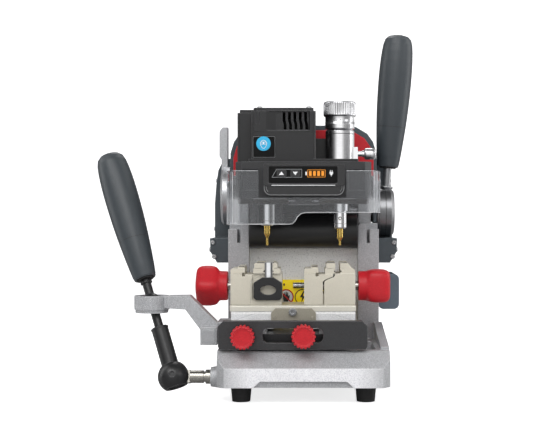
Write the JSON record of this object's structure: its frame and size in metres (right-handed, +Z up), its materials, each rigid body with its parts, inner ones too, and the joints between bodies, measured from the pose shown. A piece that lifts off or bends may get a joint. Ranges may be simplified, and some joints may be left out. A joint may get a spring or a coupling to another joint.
{
  "type": "key duplicating machine",
  "caption": "Vertical key duplicating machine with twin vises on a joystick-driven cross table, lever-lowered head, cutter, tracer, micrometer and clear guard.",
  "frame": {"origin": "on the bench plane under the feet, at the centre of the four feet, which is on the machine centre line and at the middle of the base depth", "axes": "+Z up, -Y towards the operator, +X to the operator's right"},
  "size_m": [0.3008, 0.2325, 0.3436],
  "materials": {
    "silver_paint": "sand-textured silver paint",
    "dark_paint": "dark grey powder coat",
    "slate_plastic": "fine textured slate plastic",
    "black_plastic": "satin black plastic",
    "gloss_black": "gloss black panel",
    "red_plastic": "satin red",
    "cream_metal": "cream anodised, satin",
    "bracket_metal": "sand coloured plate",
    "steel": "turned and ground steel",
    "chrome": "bright chrome",
    "gold_tool": "gold coated tool steel",
    "rubber": "moulded rubber",
    "yellow_label": "yellow printed plate",
    "blue_grey_plastic": "blue-grey plastic",
    "clear_guard": "smoky clear plastic",
    "belt_rubber": "toothed rubber belt"
  },
  "bodies": {
    "base": {"base_casting": "silver_paint", "rubber_feet": "rubber", "x_guide_rods": "steel", "z_guide_rods": "steel", "top_bridge": "silver_paint", "cross_tube": "black_plastic", "rear_cover": "slate_plastic", "rear_trim": "red_plastic", "side_cover_left": "slate_plastic", "side_cover_right": "slate_plastic", "pictogram_plate": "yellow_label", "tool_box": "blue_grey_plastic", "x_lock_post": "steel"},
    "switch": {"power_switch": "black_plastic"},
    "x_table": {"x_carriage": "silver_paint", "front_bar": "dark_paint", "y_guide_rails": "steel"},
    "y_lock": {"y_lock_knob": "red_plastic"},
    "x_lock": {"x_lock_knob": "red_plastic"},
    "y_table": {"table_plate": "silver_paint", "vise_rail": "cream_metal", "stop_bracket": "bracket_metal", "bracket_screw": "steel", "lever_arm": "silver_paint", "left_vise_body": "cream_metal", "right_vise_body": "cream_metal", "key_blade": "steel", "key_bow": "black_plastic"},
    "left_jaw": {"left_moving_jaw": "cream_metal"},
    "right_jaw": {"right_moving_jaw": "cream_metal"},
    "left_knob": {"left_vise_screw": "steel", "left_vise_knob": "red_plastic"},
    "right_knob": {"right_vise_screw": "steel", "right_vise_knob": "red_plastic"},
    "stick_yoke": {"stick_stub": "steel"},
    "joystick": {"stick_socket": "gloss_black", "stick_rod": "black_plastic", "stick_grip": "slate_plastic"},
    "lift_lever": {"z_hub": "steel", "z_lever_rod": "steel", "z_grip": "slate_plastic"},
    "lift_lock": {"z_lock_lever": "silver_paint"},
    "head": {"head_casting": "dark_paint", "z_rack": "steel", "motor_housing": "black_plastic", "motor": "steel", "drive_belt": "belt_rubber", "micrometer_body": "chrome", "display_panel": "gloss_black", "shield_screws": "steel"},
    "rotor": {"motor_rotor": "steel"},
    "spindle": {"spindle": "chrome", "cutter": "gold_tool"},
    "micrometer": {"micrometer_knob": "chrome"},
    "tracer": {"tracer_holder": "chrome", "tracer_tip": "gold_tool"},
    "tracer_lock": {"tracer_lock_screw": "chrome"},
    "guard": {"shield": "clear_guard"},
    "button_up": {"button_up": "gloss_black"},
    "button_down": {"button_down": "gloss_black"}
  },
  "joints": [
    {"name": "x_slide", "type": "slide", "parent": "base", "child": "x_table", "axis": [1, 0, 0], "range_m": [-0.011, 0.0285]},
    {"name": "y_slide", "type": "slide", "parent": "x_table", "child": "y_table", "axis": [0, 1, 0], "range_m": [-0.014, 0.014]},
    {"name": "x_lock_turn", "type": "hinge", "parent": "base", "child": "x_lock", "pos_m": [0, -0.11, 0.0585], "axis": [0, 1, 0], "range_deg": [-90, 90]},
    {"name": "y_lock_turn", "type": "hinge", "parent": "x_table", "child": "y_lock", "pos_m": [-0.0526, -0.11, 0.0579], "axis": [0, 1, 0], "range_deg": [-90, 90]},
    {"name": "left_knob_turn", "type": "hinge", "parent": "y_table", "child": "left_knob", "pos_m": [-0.08, -0.045, 0.0985], "axis": [1, 0, 0], "range_deg": [-720, 0]},
    {"name": "right_knob_turn", "type": "hinge", "parent": "y_table", "child": "right_knob", "pos_m": [0.065, -0.045, 0.0985], "axis": [1, 0, 0], "range_deg": [-1440, 288]},
    {"name": "left_jaw_slide", "type": "slide", "parent": "y_table", "child": "left_jaw", "axis": [1, 0, 0], "range_m": [-0.0025, 0]},
    {"name": "right_jaw_slide", "type": "slide", "parent": "y_table", "child": "right_jaw", "axis": [1, 0, 0], "range_m": [-0.005, 0.001]},
    {"name": "stick_pitch", "type": "hinge", "parent": "base", "child": "stick_yoke", "pos_m": [-0.1144, -0.09, 0.021], "axis": [1, 0, 0], "range_deg": [-11.3, 11.3]},
    {"name": "stick_roll", "type": "hinge", "parent": "stick_yoke", "child": "joystick", "pos_m": [-0.1144, -0.09, 0.021], "axis": [0, 0.9563, -0.2924], "range_deg": [-9.5, 24.2]},
    {"name": "lift_turn", "type": "hinge", "parent": "base", "child": "lift_lever", "pos_m": [0.0802, 0.042, 0.1665], "axis": [1, 0, 0], "range_deg": [0, 60]},
    {"name": "head_slide", "type": "slide", "parent": "base", "child": "head", "axis": [0, 0, 1], "range_m": [-0.0147, 0]},
    {"name": "lift_lock_turn", "type": "hinge", "parent": "base", "child": "lift_lock", "pos_m": [-0.077, 0.042, 0.183], "axis": [1, 0, 0], "range_deg": [0, 35]},
    {"name": "rotor_spin", "type": "hinge", "parent": "head", "child": "rotor", "pos_m": [-0.015, 0, 0.24], "axis": [0, 0, 1], "continuous": true},
    {"name": "spindle_spin", "type": "hinge", "parent": "head", "child": "spindle", "pos_m": [-0.0338, -0.035, 0.2], "axis": [0, 0, 1], "continuous": true},
    {"name": "micrometer_turn", "type": "hinge", "parent": "head", "child": "micrometer", "pos_m": [0.0338, -0.035, 0.255], "axis": [0, 0, 1], "range_deg": [0, 2160]},
    {"name": "tracer_slide", "type": "slide", "parent": "head", "child": "tracer", "axis": [0, 0, 1], "range_m": [0, 0.003]},
    {"name": "tracer_lock_turn", "type": "hinge", "parent": "head", "child": "tracer_lock", "pos_m": [0.06, -0.035, 0.2205], "axis": [1, 0, 0], "range_deg": [-90, 90]},
    {"name": "guard_lift", "type": "hinge", "parent": "head", "child": "guard", "pos_m": [0, -0.04, 0.193], "axis": [-1, 0, 0], "range_deg": [0, 40]},
    {"name": "button_up_press", "type": "slide", "parent": "head", "child": "button_up", "axis": [0, 1, 0], "range_m": [0, 0.0006]},
    {"name": "button_down_press", "type": "slide", "parent": "head", "child": "button_down", "axis": [0, 1, 0], "range_m": [0, 0.0006]},
    {"name": "switch_rock", "type": "hinge", "parent": "base", "child": "switch", "pos_m": [-0.032, 0.103, 0.09], "axis": [1, 0, 0], "range_deg": [0, 14]}
  ],
  "couplings": [
    {"joint": "left_knob_turn", "follows": "left_jaw_slide", "rad_per_m": 5026.5},
    {"joint": "right_knob_turn", "follows": "right_jaw_slide", "rad_per_m": 5026.5},
    {"joint": "stick_pitch", "follows": "y_slide", "rad_per_m": -13.8},
    {"joint": "stick_roll", "follows": "x_slide", "rad_per_m": 14.6},
    {"joint": "head_slide", "follows": "lift_turn", "m_per_rad": -0.014},
    {"joint": "spindle_spin", "follows": "rotor_spin", "ratio": 1},
    {"joint": "tracer_slide", "follows": "micrometer_turn", "m_per_rad": 0.000079577}
  ]
}
